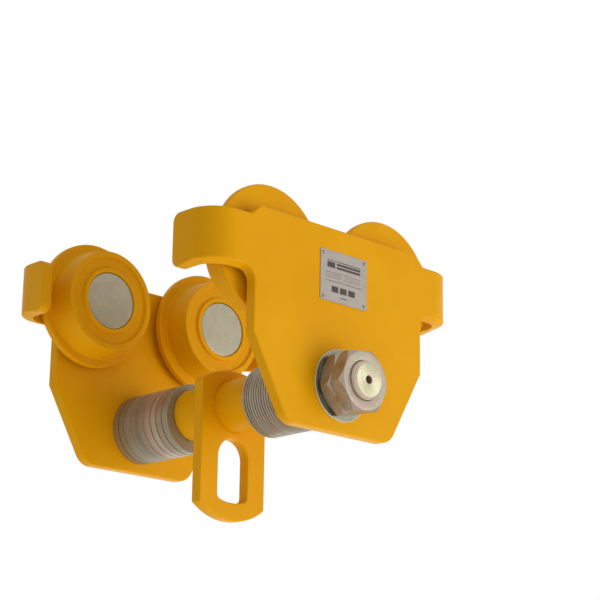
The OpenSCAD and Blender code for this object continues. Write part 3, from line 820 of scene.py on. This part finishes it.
def nut(side, kind):
    """A hexagon nut, its corners turned off at both faces and its thread countersunk."""
    flat_points, shortest_flat = 12, 10
    slope = math.radians(NUT_CORNER_SLOPE)
    corner_r = NUT_FLATS_R / math.cos(math.radians(30))
    corners = []
    for k in range(6):
        p = turned_by(Vector((corner_r, 0)), math.radians(60 * k))
        corners.append((p.x, p.y, NUT_CORNER_R))
    base = rounded(corners, step=15)
    outline = []
    for p, q in zip(base, base[1:] + base[:1]):
        parts = flat_points if (q - p).length > shortest_flat else 1
        outline += [p.lerp(q, i / parts) for i in range(parts)]
    low, high = box_mm(f"{side}_{kind}_nut")
    middle = (low + high) / 2
    front = low.y if side == "near" else high.y
    turn = math.radians(NUT_TURN[kind]) * (1 if side == "near" else -1)
    into, down = NUT_EDGE * math.cos(slope), NUT_EDGE * math.sin(slope)
    faces = []
    for p in outline:
        rim = p.length
        drop = (rim - NUT_FACE_R) * math.tan(slope)
        faces.append([
            (NUT_HOLE_R, NUT_MOUTH), (NUT_HOLE_R + NUT_MOUTH, 0), (NUT_FACE_R - NUT_EDGE, 0),
            (NUT_FACE_R + into, down), (rim - into, drop - down), (rim, drop + NUT_EDGE)])
    bm = bmesh.new()
    rings = []
    for mirror in (False, True):
        rows = range(len(faces[0]))
        for row in (reversed(rows) if mirror else rows):
            ring = []
            for p, face in zip(outline, faces):
                radius, depth = face[row]
                if mirror:
                    depth = NUT_T - depth
                q = turned_by(p.normalized() * radius, turn)
                ring.append(bm.verts.new(
                    (middle.x + q.x, front + INBOARD[side] * depth, middle.z + q.y)))
            rings.append(ring)
    join_rings(bm, rings, closed=True)
    bm.normal_update()
    # Faces get the paler zinc and flats the darker, browner one: painted light and shade by face
    # direction.
    for face in bm.faces:
        face.material_index = 0 if abs(face.normal.y) > 0.5 else 1
    piece(f"{side}_{kind}_nut_turned", bm, [NUT_FACE, NUT_FLAT_SHADE], "carriage",
          [f"{side}_{kind}_nut"])


# Hanger
def fillet_on_arc(half_width, arc_r, arc_z, radius, up):
    """Points of the round between the upright edge at half_width and an arc about (0, arc_z),
    from the edge to the arc."""
    rise = math.sqrt((arc_r - radius) ** 2 - (half_width - radius) ** 2)
    centre = Vector((half_width - radius, arc_z + up * rise))
    out = (centre - Vector((0, arc_z))).normalized() * arc_r
    return arc(centre, (half_width, centre.y), Vector((0, arc_z)) + out, 12)


def hanger_outline():
    top_z = HANGER_TOP - TOP_ARC_R
    bottom_z = BOTTOM_ARC_R - HANGER_DROP
    low = fillet_on_arc(HANGER_HALF, BOTTOM_ARC_R, bottom_z, HANGER_CORNER_R, -1)
    high = fillet_on_arc(HANGER_HALF, TOP_ARC_R, top_z, HANGER_CORNER_R, 1)
    bottom = arc((0, bottom_z), (0, -HANGER_DROP), low[-1], 3)
    top = arc((0, top_z), high[-1], (0, HANGER_TOP), 3)
    return mirrored(bottom[1:-1] + low[::-1] + high + top[1:-1])


def slot_outline():
    bottom_z = BOTTOM_ARC_R - HANGER_DROP
    land_r = BOTTOM_ARC_R - SLOT_LAND
    round_z = -SLOT_TOP - SLOT_HALF
    low = fillet_on_arc(SLOT_HALF, land_r, bottom_z, SLOT_CORNER_R, -1)
    bottom = arc((0, bottom_z), (0, bottom_z - land_r), low[-1], 4)
    top = arc((0, round_z), (SLOT_HALF, round_z), (0, round_z + SLOT_HALF), 5)
    return mirrored(bottom[1:-1] + low[::-1] + top[:-1])


def hanger():
    bm = slab([(hanger_outline(), HANGER_EDGE), (slot_outline(), SLOT_EDGE),
               (circle((0, SLEEVE_RISE), SLEEVE_R + SEAM_GAP), SEAM_EDGE)], HANGER_T)
    for v in bm.verts:
        v.co = (v.co.x, v.co.z - HANGER_T / 2, SHAFT_Z + v.co.y)
    piece("hanger_plate_painted", bm, [PAINT], "hanger", ["hanger_plate"])
    low, high = box_mm("hanger_sleeve")
    length = high.y - low.y
    bm = bmesh.new()
    profile = rounded([
        (SLEEVE_BORE_R, 0, SLEEVE_BORE_EDGE), (SLEEVE_R, 0, SLEEVE_EDGE),
        (SLEEVE_R, length, SLEEVE_EDGE), (SLEEVE_BORE_R, length, SLEEVE_BORE_EDGE),
    ], step=18)
    lathe(bm, profile, (0, low.y, SHAFT_Z))
    for v in bm.verts:
        if math.hypot(v.co.x, v.co.z - SHAFT_Z) > (SLEEVE_BORE_R + SLEEVE_R) / 2:
            v.co.z += SLEEVE_RISE
    piece("hanger_sleeve_painted", bm, [PAINT], "hanger", ["hanger_sleeve"])


# Nameplate
def nameplate():
    """Sheet metal with plain ruled print, held by four domed rivets."""
    low, high = box_mm("nameplate")
    thickness = high.y - low.y
    corners = [(low.x, low.z), (high.x, low.z), (high.x, high.z), (low.x, high.z)]
    rivets = [(x, z) for x in (low.x + RIVET_INSET, high.x - RIVET_INSET)
              for z in (low.z + RIVET_INSET, high.z - RIVET_INSET)]
    bm = slab([(rounded([(x, z, TAG_CORNER_R) for x, z in corners]), TAG_EDGE)]
              + [(circle(p, RIVET_SHANK_R, 24), TAG_HOLE_EDGE) for p in rivets], thickness)
    for v in bm.verts:
        v.co = (v.co.x, low.y + v.co.z, v.co.y)
    piece("nameplate_sheet", bm, [TAG_METAL], "carriage", ["nameplate"])
    nameplate_print(low, high)
    bm = bmesh.new()
    head = [(0, -RIVET_HEAD_H)]
    dome_steps = 8
    dome_r = (RIVET_HEAD_R ** 2 + RIVET_HEAD_H ** 2) / (2 * RIVET_HEAD_H)
    rim = math.asin(RIVET_HEAD_R / dome_r)
    for i in range(1, dome_steps + 1):
        turn = rim * i / dome_steps
        head.append((dome_r * math.sin(turn), dome_r * (1 - math.cos(turn)) - RIVET_HEAD_H))
    head += [(RIVET_SHANK_R, 0), (RIVET_SHANK_R, RIVET_LENGTH), (0, RIVET_LENGTH)]
    for x, z in rivets:
        lathe(bm, head, (x, low.y, z), count=32, closed=False)
    piece("nameplate_rivets_domed", bm, [RIVET_METAL], "carriage",
          ["nameplate_rivets"])


def nameplate_print(low, high):
    """Plain bars and rules, as (left, bottom, width, height) from the sheet's lower left corner."""
    bars = [(12, 54, 60, 1.0), (12, 45, 14, 7.5), (29, 49.5, 43, 3), (29, 45, 43, 3)]
    bars += [(8 + 34 * column, 38.5 - 3.2 * row, 30, 0.5) for column in (0, 1) for row in range(3)]
    bars += [(10, 27, 64, 0.7)]
    bars += [(20 + 15 * i, 13, 12, 8) for i in range(3)]
    bars += [(36, 7, 12, 1.2)]
    bm = bmesh.new()
    for left, bottom, width, height in bars:
        x, z = low.x + left, low.z + bottom
        box(bm, (x, low.y - INK_H, z), (x + width, low.y, z + height))
    obj = piece("nameplate_print", bm, [TAG_INK], "carriage")
    for polygon in obj.data.polygons:
        polygon.use_smooth = False
    obj.modifiers.clear()


# Surroundings
def seen_directly(tree):
    """1 for what the camera and reflections see, 0 for what only lights the object."""
    path = tree.nodes.new("ShaderNodeLightPath")
    seen = path.outputs["Is Camera Ray"]
    for kind in ("Is Glossy Ray", "Is Transmission Ray"):
        either = tree.nodes.new("ShaderNodeMath")
        either.operation = "MAXIMUM"
        tree.links.new(seen, either.inputs[0])
        tree.links.new(path.outputs[kind], either.inputs[1])
        seen = either.outputs[0]
    return seen


def floor():
    """A wide pale floor. What is seen of it is part white, so it lights the object no more."""
    half = 60
    height = -2.4
    white_share = 0.5
    mesh = bpy.data.meshes.new("floor")
    mesh.from_pydata([(-half, -half, height), (half, -half, height), (half, half, height),
                      (-half, half, height)], [], [(0, 1, 2, 3)])
    obj = bpy.data.objects.new("floor", mesh)
    bpy.context.scene.collection.objects.link(obj)
    finish = Finish("Pale floor", Roughness=0.9)
    finish.colour(finish.ramp(
        finish.noise(400, 2), [(0.4, srgb(234, 233, 231)), (0.6, srgb(236, 235, 233))]))
    share = finish.node("ShaderNodeMath", operation="MULTIPLY")
    share.inputs[1].default_value = white_share
    finish.link(seen_directly(finish.tree), share.inputs[0])
    white = finish.node("ShaderNodeEmission")
    mix = finish.node("ShaderNodeMixShader")
    for source, socket in ((share, 0), (finish.shader, 1), (white, 2)):
        finish.link(source.outputs[0], mix.inputs[socket])
    finish.link(mix.outputs[0], finish.tree.nodes["Material Output"].inputs["Surface"])
    mesh.materials.append(finish.material)


def world():
    """A soft even light, and white for what the camera and reflections see of it."""
    ambient = 0.55
    made = bpy.data.worlds.new("Studio")
    bpy.context.scene.world = made
    made.use_nodes = True
    tree = made.node_tree
    tree.nodes.clear()
    mix = tree.nodes.new("ShaderNodeMixShader")
    tree.links.new(seen_directly(tree), mix.inputs[0])
    for socket, strength in ((1, ambient), (2, 1.0)):
        light = tree.nodes.new("ShaderNodeBackground")
        light.inputs["Color"].default_value = (1, 1, 1, 1)
        light.inputs["Strength"].default_value = strength
        tree.links.new(light.outputs[0], mix.inputs[socket])
    output = tree.nodes.new("ShaderNodeOutputWorld")
    tree.links.new(mix.outputs[0], output.inputs["Surface"])


def softbox(name, place, size, share, mirrored_in_metal=True):
    """A square lamp aimed at the trolley, which adds share of full light on a surface that
    faces it."""
    aim = (cad_low + cad_high) / 2
    data = bpy.data.lights.new(name, "AREA")
    data.size = size
    data.energy = share * math.pi ** 2 * (Vector(place) - aim).length_squared
    obj = bpy.data.objects.new(name, data)
    obj.location = place
    obj.rotation_mode = "QUATERNION"
    obj.rotation_quaternion = (aim - Vector(place)).to_track_quat("-Z", "Y")
    obj.visible_camera = False
    obj.visible_glossy = mirrored_in_metal
    bpy.context.scene.collection.objects.link(obj)


def camera():
    """The photograph's view, found from the plate's straight edges."""
    azimuth, elevation, roll = (math.radians(v) for v in (-43.707, -16.230, 0.859))
    distance = 2.58460
    target = Vector((0.12609, 0, 0.09691))
    data = bpy.data.cameras.new("Camera")
    data.lens = 109.56
    data.sensor_width = 36
    data.clip_start = 0.1
    back = Vector((math.sin(azimuth) * math.cos(elevation),
                   -math.cos(azimuth) * math.cos(elevation), math.sin(elevation)))
    right = Vector((math.cos(azimuth), math.sin(azimuth), 0))
    up = back.cross(right)
    rolled_right = math.cos(roll) * right + math.sin(roll) * up
    rolled_up = math.cos(roll) * up - math.sin(roll) * right
    obj = bpy.data.objects.new("Camera", data)
    turn = Matrix((rolled_right, rolled_up, back)).transposed()
    obj.matrix_world = Matrix.Translation(target + back * distance) @ turn.to_4x4()
    bpy.context.scene.collection.objects.link(obj)
    bpy.context.scene.camera = obj


camera()
world()
floor()
softbox("Key", (1.6, -2.6, -0.7), 2.2, 0.45)
softbox("Under", (0, 0, -1.45), 1.6, 0.36, mirrored_in_metal=False)
softbox("Rim", (2.1, 2.2, -1.0), 1.8, 0.08)
softbox("Low left", (-1.3, -1.5, -1.35), 0.7, 0.03)

for side in SIDES:
    side_plate(side)
    for end in ENDS:
        wheel_pieces(side, end)
    for kind in NUT_TURN:
        nut(side, kind)
load_shaft()
all_washers()
hanger()
nameplate()

for name, obj in frame["nodes"].items():
    for start, material in HIDDEN_FINISH.items():
        if name.startswith(start):
            obj.data.materials.clear()
            obj.data.materials.append(material)

bpy.context.scene.view_settings.view_transform = "Standard"
